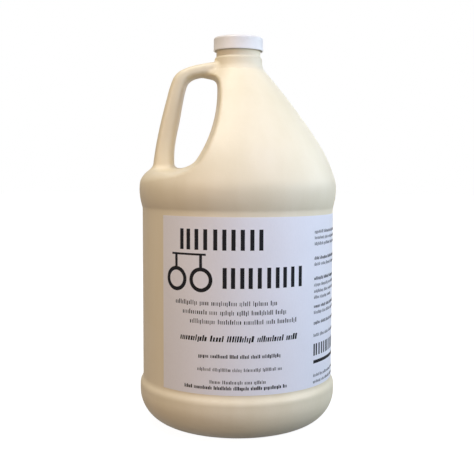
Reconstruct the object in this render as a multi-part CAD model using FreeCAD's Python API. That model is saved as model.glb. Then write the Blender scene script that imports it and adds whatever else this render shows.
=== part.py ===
import FreeCAD, Part
import math
import os

V = FreeCAD.Vector
os.makedirs("parts", exist_ok=True)

# One-gallon round handled jug of liquid chalk. Millimetres, +Z up.
# Origin: middle of the standing ring, on the jug's axis. The label faces -Y, the handle is at -X.

# jug walls
wall = 0.9
neckWall = 2.0

# base and lower bumper
pushUpRise = 5.0
pushUpRadius = 43.5
ringInner = 49.4
heelRadius = 25.7
bumperRadius = 77.8
heelTop = 25.7
lowerBumperTop = 30.2

# label panel
panelRadius = 75.5
panelBottom = 37.6
panelTop = 169.9

# upper bumper and dome
upperBumperRadius = 77.9
waistFillet = 4.0
waistArc = 48.0
bumperArc = 27.3
bumperAngle = 17.2
shoulderArc = 113.7
shoulderAngle = 33.3
coneArc = 475.4
coneAngle = 41.8

# neck
neckBaseRadius = 18.5
neckRadius = 17.3
neckStepTop = 288.2
landTop = 301.4
boreRadius = neckRadius - neckWall

# finger pocket, drawn in the XZ plane and drafted away from the parting plane
shelfLevel = 201.2
pocketTop = 272.6
pocketWallX = -16.3
pocketWallZ = 262.1
pocketWallArc = 95.9
lowerCorner = 6.9
upperCorner = 8.9
draft = math.tan(math.radians(5.0))
rimRound = 4.0
footBlend = 5.0

# 38-400 screw finish
pitch = 4.233
threadRadius = 18.4
threadStart = 294.7
threadTurns = 1.2

# cap
capRadius = 19.5
capBottom = 293.0
capTop = 303.6
capSkirt = 0.85
capPanel = 1.2
capEdge = 1.6
capThreadRadius = 17.7
capThreadTurns = 1.2
capThreadLag = 0.35

# liner
linerRadius = 18.2

# wrap label
labelBottom = 37.9
labelTop = 166.9
labelThickness = 0.15
labelGap = 0.03
labelStart = -90.0 - 46.5
labelSweep = 273.0

# contents
fillLevel = 239.8
fillGap = 0.25


def arcEdge(centre, radius, startDeg, endDeg):
    # arc in the XZ plane by its start, middle and end
    points = []
    for share in (0.0, 0.5, 1.0):
        a = math.radians(startDeg + (endDeg - startDeg) * share)
        points.append(V(centre[0] + radius * math.cos(a), 0, centre[1] + radius * math.sin(a)))
    return Part.Arc(*points).toShape()


def lineEdge(a, b):
    return Part.makeLine(V(a[0], 0, a[1]), V(b[0], 0, b[1]))


def endOf(edge):
    p = edge.valueAt(edge.LastParameter)
    return (p.x, p.z)


def startOf(edge):
    p = edge.valueAt(edge.FirstParameter)
    return (p.x, p.z)


def stepArcs(inner, outer, offset, lower, upper, z, rising):
    # two tangent arcs that carry the wall from one radius to another, ending upright
    depth = outer - inner
    turn = math.degrees(math.acos(1.0 - depth / (lower + upper)))
    low = lower * math.sin(math.radians(turn))
    high = upper * math.sin(math.radians(turn))
    if rising:
        hollow = arcEdge((inner + lower, z), lower + offset, 180, 180 - turn)
        swell = arcEdge((outer - upper, z + low + high), upper - offset, -turn, 0)
        return [hollow, swell], z + low + high
    swell = arcEdge((outer - lower, z), lower - offset, 0, turn)
    hollow = arcEdge((inner + upper, z + low + high), upper + offset, 180 + turn, 180)
    return [swell, hollow], z + low + high


def sideEdges(t):
    # the jug's wall from the standing ring to the dome's upper end, t inside the outer face.
    # The dome is three tangent arcs, each one's centre on the last one's end radius
    rise = math.atan2(pushUpRise, ringInner - pushUpRadius)
    shift = t * math.tan(rise / 2)
    heelX = bumperRadius - heelRadius
    a = (0.0, pushUpRise + t)
    b = (pushUpRadius + shift, pushUpRise + t)
    c = (ringInner + shift, t)
    d = (heelX, t)
    edges = [lineEdge(a, b), lineEdge(b, c), lineEdge(c, d)]
    edges.append(arcEdge((heelX, heelTop), heelRadius - t, -90, 0))
    lowerArc = (panelBottom - lowerBumperTop) ** 2 + (bumperRadius - panelRadius) ** 2
    lowerArc = lowerArc / (4 * (bumperRadius - panelRadius))
    edges.append(lineEdge((bumperRadius - t, heelTop), (bumperRadius - t, lowerBumperTop)))
    step, z = stepArcs(panelRadius, bumperRadius, t, lowerArc, lowerArc, lowerBumperTop, False)
    edges += step
    edges.append(lineEdge((panelRadius - t, z), (panelRadius - t, panelTop)))
    step, z = stepArcs(panelRadius, upperBumperRadius, t, waistFillet, waistArc, panelTop, True)
    edges += step
    centre = (upperBumperRadius, z)
    last, start = 0.0, 0.0
    for radius, end in ((bumperArc, bumperAngle), (shoulderArc, shoulderAngle), (coneArc, coneAngle)):
        q = math.radians(start)
        centre = (centre[0] + (last - radius) * math.cos(q), centre[1] + (last - radius) * math.sin(q))
        edges.append(arcEdge(centre, radius - t, start, end))
        last, start = radius, end
    return edges


def revolveWire(edges):
    face = Part.Face(Part.Wire(edges))
    return face.revolve(V(0, 0, 0), V(0, 0, 1), 360)


def bodyShape(t):
    # solid of revolution up to the neck; t = 0 outside, t = wall for the cavity
    edges = sideEdges(t)
    domeX, domeZ = endOf(edges[-1])
    if t == 0:
        stepArc = neckBaseRadius - neckRadius
        low = neckStepTop - stepArc
        root = (neckBaseRadius + 0.25, domeZ + 2.4)
        edges.append(lineEdge((domeX, domeZ), root))
        edges.append(lineEdge(root, (neckBaseRadius, low)))
        edges.append(arcEdge((neckRadius, low), stepArc, 0, 90))
        x, z = neckRadius, landTop
        edges.append(lineEdge((neckRadius, neckStepTop), (x, z - 0.5)))
        edges.append(lineEdge((x, z - 0.5), (x - 0.5, z)))
        edges.append(lineEdge((x - 0.5, z), (0, z)))
        top = z
    else:
        edges.append(lineEdge((domeX, domeZ), (boreRadius, domeZ + 4.0)))
        top = landTop + 1.0
        edges.append(lineEdge((boreRadius, domeZ + 4.0), (boreRadius, top)))
        edges.append(lineEdge((boreRadius, top), (0, top)))
    edges.append(lineEdge((0, top), startOf(edges[0])))
    return revolveWire(edges)


def pocketWire(grow, y):
    # outline of the finger pocket, every side moved outwards by grow
    wz = pocketWallZ
    wx = pocketWallX - pocketWallArc
    lowZ = shelfLevel + lowerCorner
    lowX = wx + math.sqrt((pocketWallArc - lowerCorner) ** 2 - (lowZ - wz) ** 2)
    topZ = pocketTop - upperCorner
    topX = wx + math.sqrt((pocketWallArc - upperCorner) ** 2 - (topZ - wz) ** 2)
    lowTurn = math.degrees(math.atan2(lowZ - wz, lowX - wx))
    topTurn = math.degrees(math.atan2(topZ - wz, topX - wx))
    far = -130.0
    shelf = lineEdge((far, shelfLevel - grow), (lowX, shelfLevel - grow))
    corner = arcEdge((lowX, lowZ), lowerCorner + grow, -90, lowTurn)
    side = arcEdge((wx, wz), pocketWallArc + grow, lowTurn, topTurn)
    upper = arcEdge((topX, topZ), upperCorner + grow, topTurn, 90)
    roof = lineEdge((topX, pocketTop + grow), (far, pocketTop + grow))
    back = lineEdge((far, pocketTop + grow), (far, shelfLevel - grow))
    wire = Part.Wire([shelf, corner, side, upper, roof, back])
    wire.translate(V(0, y, 0))
    return wire


def pocketShape(t):
    # two drafted halves that meet in the parting plane
    reach = 95.0
    halves = []
    for sign in (-1, 1):
        near = pocketWire(t, 0)
        away = pocketWire(t + reach * draft, sign * reach)
        halves.append(Part.makeLoft([near, away], True, True))
    return halves[0].fuse(halves[1]).removeSplitter()


def handleStations():
    # centre x, centre z, direction in degrees below -X, half thickness, half width across Y
    return [
        (-4.0, 277.9, 0.0, 5.9, 10.9),
        (-17.8, 278.3, 0.0, 6.1, 11.4),
        (-28.3, 277.5, 7.0, 5.3, 11.9),
        (-37.6, 275.1, 20.0, 4.9, 12.4),
        (-44.5, 270.6, 48.0, 5.7, 12.9),
        (-47.9, 263.1, 70.0, 5.9, 12.9),
        (-50.1, 254.2, 77.0, 6.2, 13.1),
        (-53.4, 239.3, 78.0, 6.8, 13.4),
        (-56.2, 226.5, 79.0, 6.9, 13.4),
        (-58.0, 215.6, 82.0, 7.2, 13.6),
        (-58.9, 204.7, 86.0, 7.9, 14.3),
        (-59.3, 191.9, 90.0, 8.5, 15.0),
    ]


def handleShape(t):
    wires = []
    for x, z, down, thick, wide in handleStations():
        a = math.radians(down)
        centre = V(x, 0, z)
        normal = V(-math.sin(a), 0, math.cos(a))
        major = centre + V(0, wide - t, 0)
        minor = centre + normal * (thick - t)
        wires.append(Part.Wire(Part.Ellipse(major, minor, centre).toShape()))
    return Part.makeLoft(wires, True, False)


def roundedBody(t):
    # dome with the pocket taken out and the pocket's rim rounded where it meets the dome
    body = bodyShape(t).cut(pocketShape(t)).Solids[0]
    rim = []
    for edge in body.Edges:
        box = edge.BoundBox
        inPocket = box.ZMin > shelfLevel - 20 and box.XMax < pocketWallX + 12 and edge.Length > 6
        if not inPocket or isinstance(edge.Curve, Part.Line):
            continue
        faces = [face for face in body.Faces if any(e.isSame(edge) for e in face.Edges)]
        if any(isinstance(face.Surface, Part.SurfaceOfRevolution) for face in faces):
            rim.append(edge)
    return body.makeFillet(rimRound - t, rim).Solids[0]


def outerShape():
    # body and handle in one, with a soft blend where the handle stands on the shelf
    shape = roundedBody(0).fuse(handleShape(0)).Solids[0]
    foot = []
    for edge in shape.Edges:
        box = edge.BoundBox
        low = box.ZMin > shelfLevel - 6 and box.ZMax < shelfLevel + 6
        if low and box.XMin > -70 and box.XMax < -48 and 1 < box.YLength < 34:
            foot.append(edge)
    return shape.makeFillet(footBlend, foot).Solids[0]


def cavityShape(t):
    return roundedBody(t).fuse(handleShape(t)).Solids[0]


def helixThread(rootRadius, crestRadius, rootHalf, crestHalf, startZ, turns, startTurn):
    # trapezoid swept along a right-hand helix; the root is sunk a little into the wall it sits on
    sink = 0.3 if crestRadius > rootRadius else -0.3
    a = V(rootRadius - sink, 0, -rootHalf)
    b = V(crestRadius, 0, -crestHalf)
    c = V(crestRadius, 0, crestHalf)
    d = V(rootRadius - sink, 0, rootHalf)
    profile = Part.makePolygon([a, b, c, d, a])
    helix = Part.makeHelix(pitch, pitch * turns, (rootRadius + crestRadius) / 2)
    sweep = Part.Wire(helix.Edges).makePipeShell([profile], True, True)
    sweep.rotate(V(0, 0, 0), V(0, 0, 1), 360.0 * startTurn)
    sweep.translate(V(0, 0, startZ))
    return sweep


def makeJug():
    thread = helixThread(neckRadius, threadRadius, 1.1, 0.5, threadStart, threadTurns, 0.0)
    jug = outerShape().cut(cavityShape(wall)).Solids[0]
    return jug.fuse(thread).Solids[0]


def makeCap():
    inside = capRadius - capSkirt
    under = capTop - capPanel
    shell = Part.makeCylinder(capRadius, capTop - capBottom, V(0, 0, capBottom))
    rim = [e for e in shell.Edges if isinstance(e.Curve, Part.Circle) and e.BoundBox.ZMin > capTop - 0.1]
    shell = shell.makeFillet(capEdge, rim)
    shell = shell.cut(Part.makeCylinder(inside, under - capBottom, V(0, 0, capBottom)))
    start = threadStart - pitch / 2 + pitch * capThreadLag
    thread = helixThread(inside, capThreadRadius, 1.0, 0.4, start, capThreadTurns, capThreadLag)
    return shell.fuse(thread).Solids[0]


def makeLiner():
    under = capTop - capPanel
    return Part.makeCylinder(linerRadius, under - landTop, V(0, 0, landTop))


def makeLabel():
    high = labelTop - labelBottom
    inside = panelRadius + labelGap
    outer = Part.makeCylinder(inside + labelThickness, high, V(0, 0, labelBottom), V(0, 0, 1), labelSweep)
    inner = Part.makeCylinder(inside, high, V(0, 0, labelBottom), V(0, 0, 1), labelSweep)
    label = outer.cut(inner)
    label.rotate(V(0, 0, 0), V(0, 0, 1), labelStart)
    return label.Solids[0]


def makeContents():
    room = cavityShape(wall + fillGap)
    tank = Part.makeBox(400, 400, fillLevel, V(-200, -200, 0))
    return room.common(tank).Solids[0]


def main():
    pieces = {
        "jug": makeJug(),
        "screw_cap": makeCap(),
        "cap_liner": makeLiner(),
        "wrap_label": makeLabel(),
        "liquid_chalk": makeContents(),
    }
    for name, shape in pieces.items():
        print(name, shape.ShapeType, shape.isValid(), len(shape.Solids), round(shape.Volume / 1000.0, 2))
        shape.exportStep("parts/" + name + ".step")


main()
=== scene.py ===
import math

import bpy
import numpy as np
from mathutils import Matrix, Vector


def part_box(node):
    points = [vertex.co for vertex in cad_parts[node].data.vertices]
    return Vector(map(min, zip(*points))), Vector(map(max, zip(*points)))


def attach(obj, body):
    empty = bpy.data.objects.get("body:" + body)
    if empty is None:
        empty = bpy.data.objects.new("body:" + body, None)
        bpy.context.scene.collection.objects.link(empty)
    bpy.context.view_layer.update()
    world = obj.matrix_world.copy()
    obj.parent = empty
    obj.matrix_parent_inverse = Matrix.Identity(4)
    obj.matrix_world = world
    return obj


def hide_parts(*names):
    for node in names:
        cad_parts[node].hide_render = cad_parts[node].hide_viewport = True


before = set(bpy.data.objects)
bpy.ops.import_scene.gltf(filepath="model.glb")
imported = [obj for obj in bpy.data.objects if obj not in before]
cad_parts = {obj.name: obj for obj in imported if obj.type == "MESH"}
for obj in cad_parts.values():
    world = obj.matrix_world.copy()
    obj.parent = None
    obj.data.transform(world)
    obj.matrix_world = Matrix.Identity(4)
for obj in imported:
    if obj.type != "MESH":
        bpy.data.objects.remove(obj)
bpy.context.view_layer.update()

mm = 0.001  # shapes are worked out in millimetres and stored in metres


def nodeBox(node):
    low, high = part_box(node)
    return np.array(low) / mm, np.array(high) / mm


jugLow, jugHigh = nodeBox("jug")
capLow, capHigh = nodeBox("screw_cap")
linerLow, linerHigh = nodeBox("cap_liner")
labelLow, labelHigh = nodeBox("wrap_label")
chalkLow, chalkHigh = nodeBox("liquid_chalk")


# ---- curves, grids and meshes that every piece uses

def smoothStep(low, high, value):
    t = np.clip((value - low) / (high - low), 0, 1)
    return t * t * (3 - 2 * t)


def roundMax(a, b, radius):
    # the larger of two distances, with the corner between them rounded to a radius
    corner = np.hypot(np.maximum(a + radius, 0), np.maximum(b + radius, 0))
    return np.minimum(np.maximum(a, b), -radius) + corner


def roundMin(a, b, radius):
    return -roundMax(-a, -b, radius)


def arcPoints(centre, radius, startDeg, endDeg, count=24):
    a = np.radians(np.linspace(startDeg, endDeg, count))
    return np.stack([centre[0] + radius * np.cos(a), centre[1] + radius * np.sin(a)], 1)


def ringGrid(rows, cols, closeRows=False, closeCols=True):
    # quads of a grid of points, facing out where the profile runs upwards and the angle grows
    r = np.arange(rows if closeRows else rows - 1)
    c = np.arange(cols if closeCols else cols - 1)
    r, c = [a.ravel() for a in np.meshgrid(r, c, indexing="ij")]
    nextRow, nextCol = (r + 1) % rows, (c + 1) % cols
    return np.stack([r * cols + c, r * cols + nextCol, nextRow * cols + nextCol, nextRow * cols + c], 1)


def bridge(lower, lowerAngles, upper, upperAngles):
    # triangles between two rings of points, each sorted by angle, one for each step on either ring
    seen = np.searchsorted(upperAngles, lowerAngles, side="right") - 1
    first = np.stack([np.roll(lower, 1), lower, upper[seen]], 1)
    seen = np.searchsorted(lowerAngles, upperAngles, side="left") - 1
    second = np.stack([lower[seen], upper, np.roll(upper, 1)], 1)
    return np.concatenate([first, second])


def turned(profile, angles):
    # a profile of (radius, height) points turned about the jug's axis, one row a profile point
    r, z = profile[:, :1], profile[:, 1:]
    x, y = r * np.cos(angles), r * np.sin(angles)
    return np.stack([x, y, np.broadcast_to(z, x.shape)], -1).reshape(-1, 3)


def fullTurn(count):
    return np.linspace(-math.pi, math.pi, count, endpoint=False)


def unitRows(vectors):
    return vectors / np.maximum(np.linalg.norm(vectors, axis=1, keepdims=True), 1e-9)


class Shape:
    # points and faces gathered from several surfaces, each face with its material's number
    def __init__(self):
        self.points, self.faces, self.slots, self.count = [], [], [], 0

    def add(self, points, faces, slot=0):
        start = self.count
        self.points.append(points)
        self.count += len(points)
        self.addFaces((np.asarray(faces) + start).tolist(), slot)
        return np.arange(start, self.count)

    def addFaces(self, faces, slot=0):
        # faces between points that are in the shape already
        self.faces += faces
        self.slots += [slot] * len(faces)

    def make(self, name, materials, normals=None, sharpDeg=None):
        mesh = bpy.data.meshes.new(name)
        mesh.from_pydata((np.concatenate(self.points) * mm).tolist(), [], self.faces)
        for material in materials:
            mesh.materials.append(material)
        mesh.polygons.foreach_set("material_index", np.array(self.slots, np.int32))
        mesh.polygons.foreach_set("use_smooth", np.ones(len(self.faces), bool))
        mesh.update()
        if sharpDeg:
            mesh.set_sharp_from_angle(angle=math.radians(sharpDeg))
        if normals is not None:
            mesh.normals_split_custom_set_from_vertices(normals.tolist())
        obj = bpy.data.objects.new(name, mesh)
        bpy.context.scene.collection.objects.link(obj)
        print(name, self.count, "points", len(self.faces), "faces")
        return obj


def turnedLoop(shape, profile, count=128):
    # a profile from pole to pole turned about the axis, with a fan of triangles at each pole
    body = shape.add(turned(profile[1:-1], fullTurn(count)), ringGrid(len(profile) - 2, count))
    ends = np.array([(0, 0, profile[0, 1]), (0, 0, profile[-1, 1])])
    poles = shape.add(ends, np.empty((0, 3), int))
    first, last = body[:count], body[-count:]
    under = np.stack([np.full(count, poles[0]), np.roll(first, -1), first], 1)
    over = np.stack([last, np.roll(last, -1), np.full(count, poles[1])], 1)
    shape.addFaces(np.concatenate([under, over]).tolist())


def helixThread(shape, thread, bead=9):
    # a bead carried up a helix: its height is 1 at the crest and falls to 0 as a smooth step across
    # each flank, its root is sunk in the wall, and both ends run out over a twelfth of a turn
    stepsPerTurn, runOut, sink = 96, 1 / 12, 0.3
    turns, steps = thread["turns"], round(thread["turns"] * stepsPerTurn)
    t = np.linspace(0, 1, steps)
    angle = 2 * math.pi * (thread["startTurn"] + turns * t)
    z = thread["startZ"] + thread["pitch"] * turns * t
    lead = runOut / turns
    height = (smoothStep(0, lead, t) * smoothStep(0, lead, 1 - t))[:, None]
    side = np.linspace(-1, 1, bead)
    flank = 1 - smoothStep(thread["crestHalf"] / thread["rootHalf"], 1, np.abs(side))
    rise = thread["crestRadius"] - thread["rootRadius"]
    sunk = -sink * np.sign(rise)
    r = thread["rootRadius"] + rise * flank[None, :] * height + np.where(flank > 0, 0, sunk)
    r = np.where(height > 0.02, r, thread["rootRadius"] + sunk * 0.5)
    x, y = r * np.cos(angle)[:, None], r * np.sin(angle)[:, None]
    points = np.stack([x, y, z[:, None] + side[None, :] * thread["rootHalf"]], -1).reshape(-1, 3)
    faces = ringGrid(steps, bead)
    if rise > 0:
        faces = faces[:, ::-1]
    shape.add(points, faces)
    way = -1 if rise < 0 else 1
    start = np.arange(bead) + shape.count - steps * bead
    end = np.arange(bead) + shape.count - bead
    shape.addFaces([start.tolist()[::way], end.tolist()[::-way]])


# ---- materials

def newMaterial(name, colour, **sockets):
    material = bpy.data.materials.new(name)
    material.use_nodes = True
    shader = material.node_tree.nodes["Principled BSDF"]
    shader.inputs["Base Color"].default_value = (*colour, 1)
    for key, value in sockets.items():
        shader.inputs[key].default_value = value
    return material


class Graph:
    # short ways to add nodes to one material and join them
    def __init__(self, material):
        self.tree = material.node_tree
        self.shader = self.tree.nodes["Principled BSDF"]
        self.coords = self.tree.nodes.new("ShaderNodeTexCoord").outputs["Object"]

    def join(self, value, socket):
        if isinstance(value, bpy.types.NodeSocket):
            self.tree.links.new(value, socket)
        else:
            socket.default_value = value

    def feed(self, key, value):
        self.join(value, self.shader.inputs[key])

    def scaled(self, scale):
        node = self.tree.nodes.new("ShaderNodeMapping")
        self.join(self.coords, node.inputs["Vector"])
        node.inputs["Scale"].default_value = scale
        return node.outputs["Vector"]

    def noise(self, scale, detail=2.0, vector=None, roughness=0.5):
        node = self.tree.nodes.new("ShaderNodeTexNoise")
        self.join(self.coords if vector is None else vector, node.inputs["Vector"])
        node.inputs["Scale"].default_value = scale
        node.inputs["Detail"].default_value = detail
        node.inputs["Roughness"].default_value = roughness
        return node.outputs["Fac"]

    def cells(self, scale):
        node = self.tree.nodes.new("ShaderNodeTexVoronoi")
        self.join(self.coords, node.inputs["Vector"])
        node.inputs["Scale"].default_value = scale
        return node.outputs["Distance"]

    def spread(self, value, low, high, fromLow=0.3, fromHigh=0.7):
        node = self.tree.nodes.new("ShaderNodeMapRange")
        self.join(value, node.inputs["Value"])
        node.inputs["From Min"].default_value = fromLow
        node.inputs["From Max"].default_value = fromHigh
        node.inputs["To Min"].default_value = low
        node.inputs["To Max"].default_value = high
        return node.outputs["Result"]

    def maths(self, operation, a, b):
        node = self.tree.nodes.new("ShaderNodeMath")
        node.operation = operation
        self.join(a, node.inputs[0])
        self.join(b, node.inputs[1])
        return node.outputs[0]

    def mix(self, factor, a, b):
        node = self.tree.nodes.new("ShaderNodeMix")
        node.data_type = "RGBA"
        self.join(factor, node.inputs["Factor"])
        self.join(a, node.inputs[6])
        self.join(b, node.inputs[7])
        return node.outputs[2]

    def bump(self, height, depth, under=None):
        node = self.tree.nodes.new("ShaderNodeBump")
        node.inputs["Distance"].default_value = depth * mm
        self.join(height, node.inputs["Height"])
        if under is not None:
            self.join(under, node.inputs["Normal"])
        return node.outputs["Normal"]


def satinPolyethylene():
    # natural blow-moulded plastic: thick and thin places show as warmer and paler clouds drawn out
    # upwards, under a faint orange peel and the fine grain of a blasted mould
    look = {
        "thin": (0.87, 0.79, 0.62, 1),
        "thick": (0.79, 0.7, 0.51, 1),
        "roughness": (0.40, 0.52),
        "cloudScale": 14,
        "streakScale": 90,
        "streakShare": 0.35,
        "peelScale": 170,
        "peelDepth": 0.10,
        "grainScale": 1500,
        "grainDepth": 0.035,
    }
    material = newMaterial("satinPolyethylene", look["thin"][:3], IOR=1.52)
    g = Graph(material)
    clouds = g.noise(look["cloudScale"], 3.0, g.scaled((1, 1, 0.45)))
    streaks = g.noise(look["streakScale"], 2.0, g.scaled((1, 1, 0.12)))
    blend = g.maths("MULTIPLY_ADD", streaks, look["streakShare"])
    g.join(clouds, blend.node.inputs[2])
    blend = g.spread(blend, 0, 1, 0.45, 0.9)
    g.feed("Base Color", g.mix(blend, look["thin"], look["thick"]))
    g.feed("Roughness", g.spread(g.noise(60, 3.0), *look["roughness"]))
    peel = g.bump(g.noise(look["peelScale"], 2.0), look["peelDepth"])
    g.feed("Normal", g.bump(g.noise(look["grainScale"], 2.0), look["grainDepth"], peel))
    return material


def whiteCapPlastic():
    # moulded polypropylene: clean white, a little flow mottling, scuffs only in the gloss
    look = {
        "white": (0.83, 0.82, 0.82, 1),
        "flow": (0.79, 0.775, 0.77, 1),
        "roughness": (0.28, 0.42),
        "grainDepth": 0.03,
    }
    material = newMaterial("whiteCapPlastic", look["white"][:3], IOR=1.49)
    g = Graph(material)
    g.feed("Base Color", g.mix(g.spread(g.noise(120, 3.0), 0, 1), look["white"], look["flow"]))
    g.feed("Roughness", g.spread(g.noise(400, 4.0), *look["roughness"]))
    g.feed("Normal", g.bump(g.noise(900, 3.0), look["grainDepth"]))
    return material


def linerFoam():
    # closed-cell foam: small round cells, each a shallow dimple
    look = {"high": (0.80, 0.80, 0.78, 1), "low": (0.60, 0.60, 0.58, 1), "cellDepth": 0.12}
    material = newMaterial("linerFoam", look["high"][:3], Roughness=0.85)
    g = Graph(material)
    cells = g.cells(1400)
    g.feed("Base Color", g.mix(g.spread(cells, 0, 1, 0.1, 0.7), look["high"], look["low"]))
    g.feed("Normal", g.bump(cells, look["cellDepth"]))
    return material


def labelPaper():
    # coated paper: short fibres under the coating, faint clouds in its white
    look = {
        "bright": (0.87, 0.87, 0.94, 1),
        "dull": (0.82, 0.82, 0.885, 1),
        "roughness": (0.42, 0.58),
        "waveDepth": 0.25,
        "fibreDepth": 0.025,
    }
    material = newMaterial("labelPaper", look["bright"][:3])
    g = Graph(material)
    fibres = g.noise(900, 4.0, g.scaled((1, 1, 0.4)), 0.65)
    clouds = g.noise(30, 2.0)
    shade = g.maths("MULTIPLY_ADD", fibres, 0.5)
    g.join(g.maths("MULTIPLY", clouds, 0.5), shade.node.inputs[2])
    g.feed("Base Color", g.mix(g.spread(shade, 0, 1), look["bright"], look["dull"]))
    g.feed("Roughness", g.spread(fibres, *look["roughness"]))
    waves = g.bump(g.noise(22, 1.0), look["waveDepth"])
    g.feed("Normal", g.bump(fibres, look["fibreDepth"], waves))
    return material


def labelInk():
    # black print: thin on the high fibres, so it greys in specks
    look = {"full": (0.008, 0.008, 0.011, 1), "speck": (0.04, 0.04, 0.045, 1), "gloss": 0.15}
    material = newMaterial("labelInk", look["full"][:3], Roughness=0.6)
    g = Graph(material)
    g.feed("Specular IOR Level", look["gloss"])
    specks = g.spread(g.noise(2200, 2.0), 0, 1, 0.62, 0.8)
    g.feed("Base Color", g.mix(specks, look["full"], look["speck"]))
    return material


def wetSlurry():
    # magnesium carbonate in alcohol: chalk white, wet gloss, curds of thicker chalk
    look = {
        "thick": (0.86, 0.85, 0.81, 1),
        "wet": (0.74, 0.725, 0.68, 1),
        "roughness": (0.12, 0.45),
        "curdDepth": 0.5,
    }
    material = newMaterial("wetSlurry", look["thick"][:3])
    g = Graph(material)
    curds = g.noise(120, 4.0)
    g.feed("Base Color", g.mix(g.spread(curds, 0, 1), look["wet"], look["thick"]))
    g.feed("Roughness", g.spread(curds, *look["roughness"]))
    g.feed("Normal", g.bump(curds, look["curdDepth"]))
    return material


# ---- jug

jug = {
    "wall": 0.9,
    "pushUpRise": 5.0,
    "pushUpEdge": (43.0, 49.8),  # radii between which the base comes back down to the floor
    "baseCorner": 0.8,
    "heelRadius": 25.7,
    "heelTop": 25.7,
    "lowerBumperRadius": 77.8,
    "lowerBumperTop": 30.2,
    "panelRadius": 75.5,
    "panelBottom": 37.6,
    "panelTop": 169.9,
    "waist": (4.0, 48.0),  # radii of the fillet above the panel and of the upper bumper
    "dome": ((27.3, 17.2), (113.7, 33.3), (475.4, 41.8)),  # radius of each arc, end angle
    "neckFoot": ((18.8, 281.2), (18.6, 283.6)),
    "neckBaseRadius": 18.5,
    "neckStepBottom": 287.0,
    "neckRoot": 281.8,
    "neckRootReach": 2.6,
    "neckRadius": 17.3,
    "bore": 15.3,
    "boreTop": 283.0,
    "boreRamp": 4.5,
    "seam": 290.4,  # where the wrapped surfaces meet the turned neck, after a straight run
    "seamRun": 0.5,
    "shelfLevel": 201.2,
    "pocketTop": 273.2,
    "pocketWallX": -16.3,
    "pocketWallZ": 262.1,
    "pocketWallArc": 95.9,
    "lowerCorner": 6.9,
    "upperCorner": 7.8,
    "draft": math.tan(math.radians(5.0)),
    "draftStart": 2.0,
    "rimRound": (10.0, 1.8),  # on the shoulder, beside the hole
    "rimFade": 16.0,
    "holeDepth": (-80.0, -46.0),  # x over which the rim turns crisp, from the shoulder inwards
    "holeCrispness": 0.95,
    "handleSquareness": 3.4,
    "handleEndReach": 6.0,
    "handleBlend": (4.5, 4.5, 1.6),  # at the foot, up the flank, at the neck
    "handleFlank": 50.0,
    "handleRoot": (276.0, 285.0),
    "partingHeight": 0.22,
    "partingWidth": 0.42,
    "pinchHeight": 0.9,
    "pinchWidth": 1.1,
    "pinchReach": 31.0,
}

# the handle's stations: centre x and z, half thickness, half width
handle = np.array([
    (-4.0, 277.9, 5.9, 10.9),
    (-17.8, 278.6, 5.8, 11.4),
    (-28.3, 277.9, 4.9, 11.9),
    (-37.8, 275.5, 4.8, 12.4),
    (-44.6, 270.9, 5.6, 12.9),
    (-47.9, 263.1, 5.9, 12.9),
    (-50.1, 254.2, 6.2, 13.1),
    (-53.4, 239.3, 6.8, 13.4),
    (-56.2, 226.5, 6.9, 13.4),
    (-58.0, 215.6, 7.2, 13.6),
    (-58.9, 204.7, 7.9, 14.3),
    (-59.3, 191.9, 8.5, 15.0),
])

neckThread = {
    "rootRadius": 17.3, "crestRadius": 18.4, "rootHalf": 1.1, "crestHalf": 0.5,
    "pitch": 4.233, "startZ": 294.7, "turns": 1.2, "startTurn": 0.0,
}


def sideProfile():
    # radius and height of the outer wall: heel arc, bumper, S-bends in and out of the label panel,
    # the dome's arcs, each starting where the last one ends, then the neck with its rounded step
    low, panel, high = jug["lowerBumperRadius"], jug["panelRadius"], jugHigh[0]
    parts = [arcPoints((low - jug["heelRadius"], jug["heelTop"]), jug["heelRadius"], -90, 0, 40)]
    drop, rise = low - panel, jug["panelBottom"] - jug["lowerBumperTop"]
    bend = (rise ** 2 + drop ** 2) / (4 * drop)
    turn = math.degrees(math.acos(1 - drop / (2 * bend)))
    parts.append(arcPoints((low - bend, jug["lowerBumperTop"]), bend, 0, turn))
    parts.append(arcPoints((panel + bend, jug["panelBottom"]), bend, 180 + turn, 180))
    fillet, swell = jug["waist"]
    turn = math.degrees(math.acos(1 - (high - panel) / (fillet + swell)))
    bumperZ = jug["panelTop"] + (fillet + swell) * math.sin(math.radians(turn))
    parts.append(arcPoints((panel + fillet, jug["panelTop"]), fillet, 180, 180 - turn))
    parts.append(arcPoints((high - swell, bumperZ), swell, -turn, 0))
    centre, last, start = np.array([high, bumperZ]), 0, 0
    for radius, end in jug["dome"]:
        a = math.radians(start)
        centre = centre + (last - radius) * np.array([math.cos(a), math.sin(a)])
        parts.append(arcPoints(centre, radius, start, end, 60)[1:])
        last, start = radius, end
    neck, step = jug["neckRadius"], jug["neckStepBottom"]
    ledge = jug["neckBaseRadius"] - neck
    parts.append(np.array(jug["neckFoot"]))
    parts.append(arcPoints((neck, step), ledge, 0, 84, 12))
    parts.append(np.array([(neck, step + ledge + 0.3), (neck, jugHigh[2] + 10)]))
    return np.concatenate(parts)


def soften(values, count):
    # a weighted running mean over a number of samples
    window = np.hanning(count) / np.hanning(count).sum()
    half = count // 2
    eased = values.copy()
    eased[half:-half] = np.convolve(values, window, "valid")
    return eased


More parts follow.
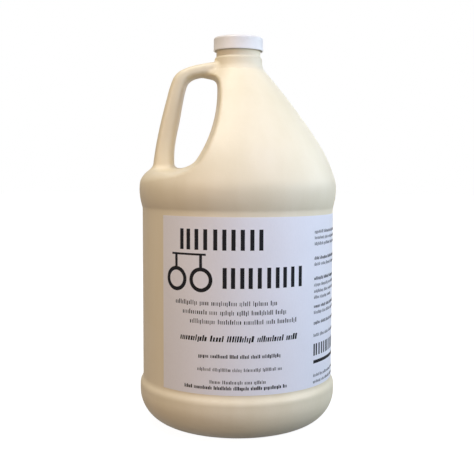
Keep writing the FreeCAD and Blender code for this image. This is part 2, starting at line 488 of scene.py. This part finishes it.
def sampledWall():
    # radius and slope against height, for the outer and the inner side
    heights = np.arange(0, 300, 0.12)
    profile = sideProfile()
    radii = soften(np.interp(heights, profile[:, 1], profile[:, 0]), 9)
    # the dome runs into the neck through a wider curve
    eased = soften(radii, 49)
    near = np.exp(-((heights - jug["neckRoot"]) / jug["neckRootReach"]) ** 4)
    radii += (eased - radii) * near
    slopes = np.gradient(radii, heights)
    inner = radii - jug["wall"] * np.sqrt(1 + slopes ** 2)
    top = jug["boreTop"]
    start = top - jug["boreRamp"]
    ramp = np.interp(heights, [start, top], [np.interp(start, heights, inner), jug["bore"]])
    inner = np.where(heights > start, ramp, inner)
    return heights, {"outer": (radii, slopes), "inner": (inner, np.gradient(inner, heights))}


wallHeights, wallSides = sampledWall()


def wallField(x, y, z, side):
    # distance from the turned wall: (r - R(z)) cos(slope), and under it the pushed-up base
    radii, slopes = wallSides[side]
    r = np.hypot(x, y)
    slope = np.interp(z, wallHeights, slopes)
    out = (r - np.interp(z, wallHeights, radii)) / np.sqrt(1 + slope ** 2)
    pushUp = jug["pushUpRise"] * (1 - smoothStep(*jug["pushUpEdge"], r))
    pinch = jug["pinchHeight"] * np.exp(-(y / jug["pinchWidth"]) ** 2)
    pinch = pinch * (1 - smoothStep(jug["pinchReach"] - 3, jug["pinchReach"], np.abs(x)))
    floor = pushUp - pinch - z
    if side == "inner":
        floor = pushUp + jug["wall"] - z
    return roundMax(out, floor, jug["baseCorner"])


def pocketField(x, y, z):
    # the pocket beside the handle: a convex outline of a shelf, a curved wall and a roof in the XZ
    # plane, opening out with the mould's draft away from the parting plane
    wallX = jug["pocketWallX"] - jug["pocketWallArc"]
    wall = np.hypot(x - wallX, z - jug["pocketWallZ"]) - jug["pocketWallArc"]
    low = roundMax(jug["shelfLevel"] - z, wall, jug["lowerCorner"])
    outline = roundMax(low, z - jug["pocketTop"], jug["upperCorner"])
    away = np.sqrt(y ** 2 + jug["draftStart"] ** 2) - jug["draftStart"]
    return (outline - away * jug["draft"]) / math.sqrt(1 + jug["draft"] ** 2)


def handlePath(count=260):
    # Catmull-Rom curve through the stations, every column at once
    ends = np.vstack([2 * handle[0] - handle[1], handle, 2 * handle[-1] - handle[-2]])
    t = np.linspace(0, len(handle) - 1, count)
    i = np.minimum(t.astype(int), len(handle) - 2)
    t = (t - i)[:, None]
    a, b, c, d = (ends[i + k] for k in range(4))
    cubic = (2 * a - 5 * b + 4 * c - d) * t ** 2 + (3 * b - a - 3 * c + d) * t ** 3
    return 0.5 * (2 * b + (c - a) * t + cubic)


path = handlePath()
pathSteps = np.gradient(path[:, :2], axis=0)
pathLengths = np.hypot(*pathSteps.T)
# the path's direction, as an angle turned down from -X
pathTurn = np.arctan2(-pathSteps[:, 1], -pathSteps[:, 0])


def handleField(x, y, z):
    # distance from a tube of squarish section about the nearest spot of its path: with
    # k = (|u|^n + |v|^n)^(1/n) over the half sizes, (k - 1) / |slope of k|
    points = np.stack([x, z], -1)
    nearest = np.empty(len(x), int)
    for part in np.array_split(np.arange(len(x)), max(1, len(x) // 40000)):
        gap = ((points[part, None] - path[None, :, :2]) ** 2).sum(-1)
        nearest[part] = gap.argmin(1)
    a = pathTurn[nearest]
    along = (path[nearest, 0] - x) * np.cos(a) + (path[nearest, 1] - z) * np.sin(a)
    spot = nearest + np.clip(along / pathLengths[nearest], -1, 1)
    steps = np.arange(len(path))
    centreX, centreZ, thick, wide = (np.interp(spot, steps, column) for column in path.T)
    a = np.interp(spot, steps, pathTurn)
    off = (centreX - x) * np.sin(a) - (centreZ - z) * np.cos(a)
    n = jug["handleSquareness"]
    u = np.maximum(np.abs(off), 1e-3) / thick
    v = np.maximum(np.abs(y), 1e-3) / wide
    k = (u ** n + v ** n) ** (1 / n)
    slope = np.hypot((u / k) ** (n - 1) / thick, (v / k) ** (n - 1) / wide)
    atEnd = (nearest == 0) | (nearest == len(path) - 1)
    beyond = np.where(atEnd, np.abs(along) - jug["handleEndReach"], -50)
    return np.maximum((k - 1) / slope, beyond)


def jugField(points, side="outer"):
    # below zero inside: the wall without the pocket, with the handle blended on
    x, y, z = points.T
    z = np.minimum(z, jug["seam"] - jug["seamRun"])
    body = wallField(x, y, z, side)
    inset = 0 if side == "outer" else jug["wall"]
    soft, crisp = jug["rimRound"]
    level = jug["shelfLevel"]
    inHole = jug["holeCrispness"] * smoothStep(*jug["holeDepth"], x)
    above = smoothStep(level, level + jug["rimFade"], z)
    rim = soft + (crisp - soft) * np.maximum(above, inHole)
    field = roundMax(body, inset - pocketField(x, y, z), rim)
    # the handle only matters in a box round it, which saves time
    near = (x < 6) & (x > -90) & (np.abs(y) < 40) & (z > level - 30)
    foot, flank, root = jug["handleBlend"]
    nearZ = z[near]
    blend = foot + (flank - foot) * smoothStep(level, level + jug["handleFlank"], nearZ)
    blend = blend + (root - blend) * smoothStep(*jug["handleRoot"], nearZ)
    tube = handleField(x[near], y[near], nearZ) + inset
    field[near] = roundMin(field[near], tube, blend)
    if side == "outer":
        # the parting line, a thin ridge that fades out at the base and at the neck's step
        ridge = jug["partingHeight"] * np.exp(-(y / jug["partingWidth"]) ** 2)
        field = field - ridge * smoothStep(6, 10, z) * (1 - smoothStep(287, 289, z))
    return field


def cavityField(points):
    return jugField(points, "inner")


def fieldSlope(field, points, step=0.05):
    # central differences along each axis
    slope = np.empty_like(points)
    for axis in range(3):
        shift = np.zeros(3)
        shift[axis] = step
        slope[:, axis] = (field(points + shift) - field(points - shift)) / (2 * step)
    return slope


def wrapField(field, axes):
    # one point in each cell that the surface crosses, one quad round each crossed grid edge, then
    # every point is carried along the field's slope onto the surface. Gives the points, the quads
    # and the points of the highest layer of cells
    counts = np.array([len(a) for a in axes])
    grid = np.stack(np.meshgrid(*axes, indexing="ij"), -1).reshape(-1, 3)
    value = field(grid).reshape(counts)
    cells = counts - 1
    total, hits, edges = np.zeros((cells.prod(), 3)), np.zeros(cells.prod()), []
    for axis in range(3):
        low = np.take(value, range(counts[axis] - 1), axis)
        high = np.take(value, range(1, counts[axis]), axis)
        spot = np.argwhere((low < 0) != (high < 0))
        a, b = low[tuple(spot.T)], high[tuple(spot.T)]
        place = spot.astype(float)
        place[:, axis] += a / (a - b)
        u, v = (axis + 1) % 3, (axis + 2) % 3
        around = []
        for du, dv in ((-1, -1), (0, -1), (0, 0), (-1, 0)):
            cell = spot.copy()
            cell[:, u] += du
            cell[:, v] += dv
            good = ((cell >= 0) & (cell < cells)).all(1)
            index = np.where(good, np.ravel_multi_index(np.clip(cell, 0, cells - 1).T, cells), -1)
            np.add.at(total, index[good], place[good])
            np.add.at(hits, index[good], 1)
            around.append(index)
        around = np.stack(around, 1)
        around[a > 0] = around[a > 0, ::-1]
        edges.append(around[(around >= 0).all(1)])
    used = np.flatnonzero(hits)
    number = np.full(len(hits), -1)
    number[used] = np.arange(len(used))
    mean = total[used] / hits[used, None]
    points = np.stack([np.interp(mean[:, k], np.arange(counts[k]), axes[k]) for k in range(3)], 1)
    layer = np.unravel_index(used, cells)[2]
    for _ in range(5):
        slope = fieldSlope(field, points)
        gain = field(points) / np.maximum((slope ** 2).sum(1), 0.2)
        points = points - np.clip(gain, -1.5, 1.5)[:, None] * slope
    return points, number[np.concatenate(edges)], np.flatnonzero(layer == layer.max())


def spaced(*stops):
    # grid lines between stops, each stretch with its own spacing
    lines = [np.linspace(a, b, max(2, round((b - a) / gap) + 1))[:-1] for a, b, gap in stops]
    return np.append(np.concatenate(lines), stops[-1][1])


def sortedRing(points, ring):
    angle = np.arctan2(points[ring, 1], points[ring, 0])
    order = np.argsort(angle)
    return ring[order], angle[order]


def neckProfile():
    # up the neck from the seam, over the rounded land and down the bore
    neck, bore, land = jug["neckRadius"], jug["bore"], jugHigh[2]
    lip, inner = 0.5, 0.35
    return np.concatenate([
        np.stack([np.full(7, neck), np.linspace(jug["seam"] + 0.8, land - lip - 0.3, 7)], 1),
        arcPoints((neck - lip, land - lip), lip, 0, 90, 7),
        arcPoints((bore + inner, land - inner), inner, 90, 180, 6),
        np.stack([np.full(6, bore), np.linspace(land - inner - 0.4, jug["seam"] + 0.8, 6)], 1),
    ])


reach = jugHigh[0] + 2.5  # the grids go this far out


def makeJug(material):
    # outer side, inner side and turned neck, sewn together at the seam, then the thread
    gap = 1.85
    seam, last = jug["seam"], jug["seam"] - jug["seamRun"]
    shape = Shape()
    # the outer side's lines lie closer across the parting line and at the neck
    across = spaced((-reach, -1.6, gap), (-1.6, 1.6, 0.45), (1.6, reach, gap))
    along = spaced((-reach, reach, gap))
    up = spaced((-2, 44, 1.7), (44, 160, 5.0), (160, 280, gap), (280, last, 0.9), (last, seam, 0.5))
    outer, quads, outerTop = wrapField(jugField, (along, across, up))
    shape.add(outer, quads)
    normals = [fieldSlope(jugField, outer)]
    flat = spaced((-reach, reach, 2.9))
    up = spaced((-2, 44, 3.0), (44, 160, 8.0), (160, last, 3.2), (last, seam, 0.5))
    inner, quads, innerTop = wrapField(cavityField, (flat, flat, up))
    inside = shape.add(inner, quads[:, ::-1])
    normals.append(-fieldSlope(cavityField, inner))
    angles = fullTurn(112)
    rings = neckProfile()
    neck = shape.add(turned(rings, angles), ringGrid(len(rings), len(angles)))
    lean = np.gradient(rings, axis=0)
    normals.append(turned(np.stack([lean[:, 1], -lean[:, 0]], 1), angles))
    shape.addFaces(bridge(*sortedRing(outer, outerTop), neck[: len(angles)], angles).tolist())
    ring, ringAngles = sortedRing(inner, innerTop)
    sewn = bridge(inside[ring], ringAngles, neck[-len(angles):], angles)
    shape.addFaces(sewn[:, ::-1].tolist())
    before = shape.count
    helixThread(shape, neckThread)
    normals.append(np.zeros((shape.count - before, 3)))
    return shape.make("jug_shell", [material], normals=unitRows(np.concatenate(normals)))


jugShell = makeJug(satinPolyethylene())
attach(jugShell, "jug")
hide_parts("jug")


# ---- liquid chalk

chalk = {"wallGap": 0.45, "wetRise": 1.0, "wetReach": 2.0, "edge": 0.3}


def fillField(points):
    # the contents: the cavity up to a level, drawn up a little where they wet the wall
    wall = cavityField(points) + chalk["wallGap"]
    level = chalkHigh[2] + chalk["wetRise"] * np.exp(np.minimum(wall, 0) / chalk["wetReach"])
    return roundMax(wall, points[:, 2] - level, chalk["edge"])


def makeChalk(material):
    top = chalkHigh[2]
    flat = spaced((-reach, reach, 2.9))
    up = spaced((-2, 44, 3.2), (44, 160, 8.0), (160, top - 3, 2.9), (top - 3, top + 3, 0.75))
    points, quads, _ = wrapField(fillField, (flat, flat, up))
    shape = Shape()
    shape.add(points, quads)
    normals = unitRows(fieldSlope(fillField, points))
    return shape.make("chalk_fill", [material], normals=normals)


chalkFill = makeChalk(wetSlurry())
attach(chalkFill, "jug")
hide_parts("liquid_chalk")


# ---- screw cap

cap = {
    "skirt": 0.85,
    "panel": 1.2,
    "edge": 1.9,
    "recessRadius": 14.8,
    "recessDepth": 0.3,
    "gateRadius": 1.6,
    "skirtDraft": 0.12,
    "rimRound": 0.3,
    "innerCorner": 0.6,
    "lipHeight": 1.3,
}

capThread = {
    "rootRadius": 18.65, "crestRadius": 17.7, "rootHalf": 1.0, "crestHalf": 0.4,
    "pitch": 4.233, "startZ": 294.065, "turns": 1.2, "startTurn": 0.35,
}


def makeCap(material):
    # one closed profile from the middle of the inside, down the bore, round the rim, up the skirt
    # and over the crown with its shallow recess and gate mark
    radius, bottom, top = capHigh[0], capLow[2], capHigh[2]
    inside, ceiling = radius - cap["skirt"], top - cap["panel"]
    edge, recess, deep = cap["edge"], cap["recessRadius"], cap["recessDepth"]
    slim = radius - cap["skirtDraft"]
    gate, rim, corner, lip = cap["gateRadius"], cap["rimRound"], cap["innerCorner"], cap["lipHeight"]
    profile = np.concatenate([
        np.array([(0, ceiling), (inside - 6, ceiling)]),
        arcPoints((inside - corner, ceiling - corner), corner, 90, 0, 6),
        np.stack([np.full(5, inside), np.linspace(ceiling - 1.5, bottom + 0.6, 5)], 1),
        arcPoints((inside + rim, bottom + rim), rim, 180, 270, 5),
        arcPoints((radius - rim, bottom + rim), rim, 270, 360, 5),
        np.array([(radius, bottom + lip), (slim + 0.03, bottom + lip + 0.3)]),
        np.array([(slim, top - edge - 0.6)]),
        arcPoints((slim - edge, top - edge), edge, 0, 90, 12),
        arcPoints((recess + rim, top - rim), rim, 90, 150, 5),
        arcPoints((recess - 0.5, top - deep + 0.5), 0.5, -40, -90, 5),
        np.array([(gate + 0.9, top - deep)]),
        arcPoints((gate, top - deep - 0.1), 0.25, 60, 150, 5),
        np.array([(gate - 0.7, top - deep - 0.05), (0, top - deep - 0.05)]),
    ])
    shape = Shape()
    turnedLoop(shape, profile, 144)
    helixThread(shape, capThread)
    return shape.make("cap_shell", [material], sharpDeg=50)


capShell = makeCap(whiteCapPlastic())
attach(capShell, "cap")
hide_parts("screw_cap")


# ---- cap liner

liner = {"edge": 0.35, "pressDepth": 0.12, "pressReach": 0.5}


def makeLiner(material):
    # a disc with rounded edges, its underside pressed in a little where it meets the land
    radius, low, high = linerHigh[0], linerLow[2], linerHigh[2]
    edge = liner["edge"]
    r = np.linspace(0, radius - edge, 48)
    middle = (jug["neckRadius"] + jug["bore"]) / 2
    halfLand = (jug["neckRadius"] - jug["bore"]) / 2
    depth, away = liner["pressDepth"], np.abs(r - middle)
    bulge = depth * smoothStep(halfLand, halfLand + liner["pressReach"], away)
    under = np.stack([r, low + depth - bulge], 1)
    profile = np.concatenate([
        under,
        arcPoints((radius - edge, low + edge), edge, -60, 0, 5),
        arcPoints((radius - edge, high - edge), edge, 0, 90, 6),
        np.array([(radius * 0.5, high), (0, high)]),
    ])
    shape = Shape()
    turnedLoop(shape, profile, 128)
    return shape.make("liner_disc", [material], sharpDeg=50)


linerDisc = makeLiner(linerFoam())
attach(linerDisc, "liner")
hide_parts("cap_liner")


# ---- wrap label: the sheet, and its print as closed films of ink. The print is rows of plain
# strokes and blocks in place of words, and a pair of gymnastic rings

label = {
    "startDeg": -136.5,
    "sweepDeg": 273.0,
    "glueGap": 0.03,
    "filmOut": 0.035,  # the ink's faces, outside and inside the sheet's outer face
    "filmIn": 0.06,
    "strokePitch": 0.46,  # shares of a row's height
    "lowLetter": 0.72,
    "tail": 0.2,
    "slant": 0.18,
    "heavyStroke": 0.2,
    "heavyGap": 0.24,
}

# left and right ends as arc lengths from the front, middle height, height of a stroke, weight
frontLines = (
    (-48.1, 29.3, 105.0, 3.4, 0.42),
    (-41.6, 36.8, 98.3, 3.4, 0.42),
    (-35.5, 45.9, 91.6, 3.4, 0.42),
    (-44.1, 46.2, 79.3, 4.4, 0.62),
    (-28.7, 32.4, 66.5, 2.7, 0.60),
    (-29.4, 33.5, 56.7, 2.5, 0.44),
    (-20.0, 21.0, 47.6, 2.6, 0.44),
    (-40.2, 37.9, 43.3, 2.7, 0.64),
)
sideLines = (
    (65, 148, 155.0, 2.4, 0.44), (65, 150, 150.5, 2.4, 0.44), (65, 112, 146.0, 2.4, 0.44),
    (65, 147, 135.2, 2.4, 0.6), (65, 136, 130.7, 2.4, 0.44),
    (65, 146, 120.0, 2.4, 0.6), (65, 150, 115.2, 2.4, 0.44), (65, 149, 110.4, 2.4, 0.44),
    (65, 96, 105.8, 2.4, 0.44),
    (65, 144, 99.0, 2.4, 0.56), (65, 130, 94.4, 2.4, 0.44),
    (65, 139, 86.5, 2.4, 0.56), (65, 122, 77.0, 2.4, 0.44),
    (65, 150, 46.4, 2.2, 0.44), (65, 128, 41.6, 2.2, 0.44),
)
# the same ends and heights, then the share of each heavy stroke or pair of strokes
titleRows = (
    (-44.0, 18.6, 150.6, 15.0, (9, 3.4, 11, 10, 3.4, 10)),
    (-10.6, 50.9, 123.2, 15.0, (9, 9, 10, 9, 10)),
    (65.0, 130.0, 66.0, 9.0, (5, 2, 6, 5, 2, 6, 6, 5, 6, 5)),
)
bar = {"left": 65, "right": 118, "low": 55.5, "high": 58}
rings = {
    "s": (-47.5, -27.0),
    "z": 121.5,
    "radius": 9.0,
    "band": 2.8,
    "strapTop": 139.0,
    "strap": 2.2,
    "beamReach": 4,
    "beamHeight": 1.5,
}


def onLabel(s, z, out):
    # arc length from the front and height, wrapped onto the sheet's outer face
    radius = labelHigh[0]
    angle = s / radius - math.pi / 2
    x, y = (radius + out) * np.cos(angle), (radius + out) * np.sin(angle)
    return np.stack([x, y, np.broadcast_to(z, x.shape)], -1)


def makeSheet(shape):
    # a closed slab wrapped round the panel: its section's four corners carried through the sweep
    radius, inner = labelHigh[0], jug["panelRadius"] + label["glueGap"]
    low, high = labelLow[2], labelHigh[2]
    angles = np.radians(label["startDeg"] + np.linspace(0, label["sweepDeg"], 183))
    profile = np.array([(inner, low), (radius, low), (radius, high), (inner, high)])
    sheet = shape.add(turned(profile, angles), ringGrid(4, len(angles), True, False))
    columns = sheet.reshape(4, -1)
    shape.addFaces([columns[:, 0].tolist(), columns[::-1, -1].tolist()])


def inkFilms(shape, left, right, low, high, lean=0.0, columns=1):
    # many closed blocks at once: four rows of points each, two on the back face inside the sheet
    # and two on the front face outside it
    left, right, low, high = (np.asarray(v, float)[:, None] for v in (left, right, low, high))
    t = np.linspace(0, 1, columns + 1)
    s = left + (right - left) * t
    back, front = -label["filmIn"], label["filmOut"]
    corners = ((low, back), (low, front), (high, front), (high, back))
    rows = [onLabel(s + lean * (z - low), z + 0 * s, out) for z, out in corners]
    points = np.stack(rows, 1).reshape(-1, 3)
    faces = ringGrid(4, columns + 1, True, False)
    ends = np.arange(4) * (columns + 1)
    one = faces.tolist() + [ends.tolist(), (ends + columns).tolist()[::-1]]
    step = np.arange(len(left))[:, None, None] * 4 * (columns + 1)
    shape.add(points, (np.array(one)[None] + step).reshape(-1, 4), 1)


def strokeRow(shape, rng, line):
    # one row of thin upright strokes of uneven height, grouped like words and fitted to its length
    left, right, middle, tall, weight = line
    pitch = tall * label["strokePitch"]
    count = max(8, round((right - left) / pitch))
    widths = pitch * weight * rng.uniform(0.7, 1.45, count)
    gaps = pitch * (1 - weight) * rng.uniform(0.75, 1.2, count)
    gaps[np.cumsum(rng.integers(5, 14, count))[: count // 5].clip(0, count - 1)] += tall * 0.5
    gaps[-1] = 0
    scale = (right - left) / (widths.sum() + gaps.sum())
    start = left + np.concatenate([[0], np.cumsum((widths + gaps)[:-1])]) * scale
    kind = rng.random(count)
    base = middle - tall * 0.5
    high = base + tall * np.where(kind < 0.36, 1.0, label["lowLetter"])
    low = base - tall * np.where(kind > 0.9, label["tail"], 0.0)
    lean = label["slant"] if tall > 4 else 0.0
    inkFilms(shape, start, start + widths * scale, low, high, lean)


def titleRow(shape, row):
    # heavy upright strokes, alone or in pairs of uneven width
    left, right, middle, tall, widths = row
    stroke, gap = tall * label["heavyStroke"], tall * label["heavyGap"]
    widths = np.array(widths, float)
    widths *= (right - left - gap * (len(widths) - 1)) / widths.sum()
    start = left + np.concatenate([[0], np.cumsum((widths + gap)[:-1])])
    wide = widths > stroke * 2.2
    uprights = np.concatenate([start, (start + widths - stroke)[wide]])
    half = np.full(len(uprights), tall / 2)
    inkFilms(shape, uprights, uprights + stroke, middle - half, middle + half)


def ringPair(shape):
    # two flat rings, each an annulus of arc length and height, hung from a beam by straps
    back, front = -label["filmIn"], label["filmOut"]
    outer, inner = rings["radius"], rings["radius"] - rings["band"]
    a = fullTurn(40)
    for s in rings["s"]:
        loops = [onLabel(s + radius * np.cos(a), rings["z"] + radius * np.sin(a), out)
                 for radius, out in ((outer, back), (outer, front), (inner, front), (inner, back))]
        shape.add(np.concatenate(loops), ringGrid(4, len(a), True), 1)
    centre, half, top = np.array(rings["s"]), rings["strap"] / 2, rings["strapTop"]
    bottom = rings["z"] + outer - 0.4
    inkFilms(shape, centre - half, centre + half, [bottom] * 2, [top] * 2)
    left, right = centre[0] - rings["beamReach"], centre[1] + rings["beamReach"]
    inkFilms(shape, [left], [right], [top], [top + rings["beamHeight"]], columns=8)


def makeLabel(materials):
    shape = Shape()
    makeSheet(shape)
    rng = np.random.default_rng(7)
    for row in titleRows:
        titleRow(shape, row)
    for line in frontLines + sideLines:
        strokeRow(shape, rng, line)
    inkFilms(shape, [bar["left"]], [bar["right"]], [bar["low"]], [bar["high"]], columns=20)
    ringPair(shape)
    return shape.make("label_sheet", materials, sharpDeg=30)


labelSheet = makeLabel([labelPaper(), labelInk()])
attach(labelSheet, "jug")
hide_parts("wrap_label")


# ---- studio

studio = {
    "cameraHeight": 0.2010,
    "cameraBack": 0.6521,
    "lens": 61.95,
    "pitch": 0.0832,  # radians: down, to the right, clockwise
    "yaw": -0.0007,
    "roll": 0.0045,
    "above": (0.07, 0.07, 0.07),
    "below": (0.04, 0.04, 0.04),
    "horizon": (-0.15, 0.25),
    "glossyShare": 0.5,
    "aim": (0, 0, 0.17),
    "floorRadius": 6000.0,
    "floorLevel": -0.2,
    "floorGrey": (0.22, 0.22, 0.22),
    "floorGlow": 0.94,
}


def makeCamera():
    camera = bpy.data.objects.new("camera", bpy.data.cameras.new("camera"))
    bpy.context.scene.collection.objects.link(camera)
    bpy.context.scene.camera = camera
    camera.data.sensor_width = 36
    camera.data.lens = studio["lens"]
    pitch, yaw, roll = studio["pitch"], studio["yaw"], studio["roll"]
    flat = math.cos(pitch)
    forward = Vector((math.sin(yaw) * flat, math.cos(yaw) * flat, -math.sin(pitch)))
    level = Vector((math.cos(yaw), -math.sin(yaw), 0))
    upright = level.cross(forward)
    right = level * math.cos(roll) + upright * math.sin(roll)
    up = upright * math.cos(roll) - level * math.sin(roll)
    turn = Matrix((right, up, -forward)).transposed().to_4x4()
    place = Matrix.Translation((0, -studio["cameraBack"], studio["cameraHeight"]))
    camera.matrix_world = place @ turn


def addLight(name, kind, place, size, colour, power):
    # an area light's size is its width in metres, a sun's the angle it fills in degrees
    lamp = bpy.data.lights.new(name, kind)
    if kind == "SUN":
        lamp.angle = math.radians(size)
    else:
        lamp.shape = "DISK"
        lamp.size = size
    lamp.color = colour
    lamp.energy = power
    obj = bpy.data.objects.new(name, lamp)
    obj.location = place
    aim = Vector(studio["aim"]) - Vector(place)
    obj.rotation_euler = aim.to_track_quat("-Z", "Y").to_euler()
    bpy.context.scene.collection.objects.link(obj)


def makeWorld():
    # soft light from all round, brighter above than below. The camera sees plain white, and glossy
    # rays see a share of it
    world = bpy.data.worlds.new("studio")
    bpy.context.scene.world = world
    world.use_nodes = True
    tree = world.node_tree
    direction = tree.nodes.new("ShaderNodeTexCoord").outputs["Generated"]
    split = tree.nodes.new("ShaderNodeSeparateXYZ")
    tree.links.new(direction, split.inputs[0])
    rise = tree.nodes.new("ShaderNodeMapRange")
    tree.links.new(split.outputs["Z"], rise.inputs["Value"])
    rise.inputs["From Min"].default_value = studio["horizon"][0]
    rise.inputs["From Max"].default_value = studio["horizon"][1]
    blend = tree.nodes.new("ShaderNodeMix")
    blend.data_type = "RGBA"
    tree.links.new(rise.outputs[0], blend.inputs["Factor"])
    blend.inputs[6].default_value = (*studio["below"], 1)
    blend.inputs[7].default_value = (*studio["above"], 1)
    ambient = tree.nodes["Background"]
    tree.links.new(blend.outputs[2], ambient.inputs["Color"])
    seen = tree.nodes.new("ShaderNodeBackground")
    seen.inputs["Color"].default_value = (1, 1, 1, 1)
    rays = tree.nodes.new("ShaderNodeLightPath")
    share = tree.nodes.new("ShaderNodeMath")
    share.operation = "MULTIPLY_ADD"
    tree.links.new(rays.outputs["Is Glossy Ray"], share.inputs[0])
    share.inputs[1].default_value = studio["glossyShare"]
    tree.links.new(rays.outputs["Is Camera Ray"], share.inputs[2])
    mix = tree.nodes.new("ShaderNodeMixShader")
    tree.links.new(share.outputs[0], mix.inputs[0])
    tree.links.new(ambient.outputs[0], mix.inputs[1])
    tree.links.new(seen.outputs[0], mix.inputs[2])
    tree.links.new(mix.outputs[0], tree.nodes["World Output"].inputs["Surface"])


def makeFloor():
    # a wide flat disc under the jug, which throws no light back up at it
    shape = Shape()
    edge = np.array([(studio["floorRadius"], studio["floorLevel"])])
    shape.add(turned(edge, fullTurn(64)), [list(range(64))])
    paint = newMaterial("paleFloor", studio["floorGrey"], Roughness=0.9)
    glow = paint.node_tree.nodes["Principled BSDF"].inputs
    glow["Emission Color"].default_value = (1, 1, 1, 1)
    glow["Emission Strength"].default_value = studio["floorGlow"]
    floor = shape.make("floor", [paint])
    floor.visible_diffuse = False
    floor.visible_glossy = False


makeCamera()
makeWorld()
makeFloor()
addLight("key", "AREA", (0.5, -0.5, 0.95), 0.55, (0.62, 0.68, 0.95), 4.1)
addLight("overhead", "AREA", (-0.22, -0.2, 0.98), 0.4, (0.70, 0.68, 0.60), 5.0)
addLight("right", "AREA", (0.9, -0.35, 0.35), 0.6, (0.76, 0.88, 1.0), 4.2)
addLight("rightBack", "AREA", (0.8, 0.25, 0.45), 0.5, (0.34, 0.36, 0.36), 5)
addLight("frontRight", "AREA", (0.35, -1.0, 0.3), 0.5, (0.27, 0.33, 0.42), 4.0)
addLight("back", "AREA", (0.2, 1.1, 0.4), 0.8, (0.95, 0.95, 1.0), 1.5)
addLight("frontLeft", "SUN", (-1.19, -1.52, 0.69), 45, (0.72, 0.51, 0.33), 1.72)
bpy.context.scene.view_settings.view_transform = "Standard"
print("studio ready")
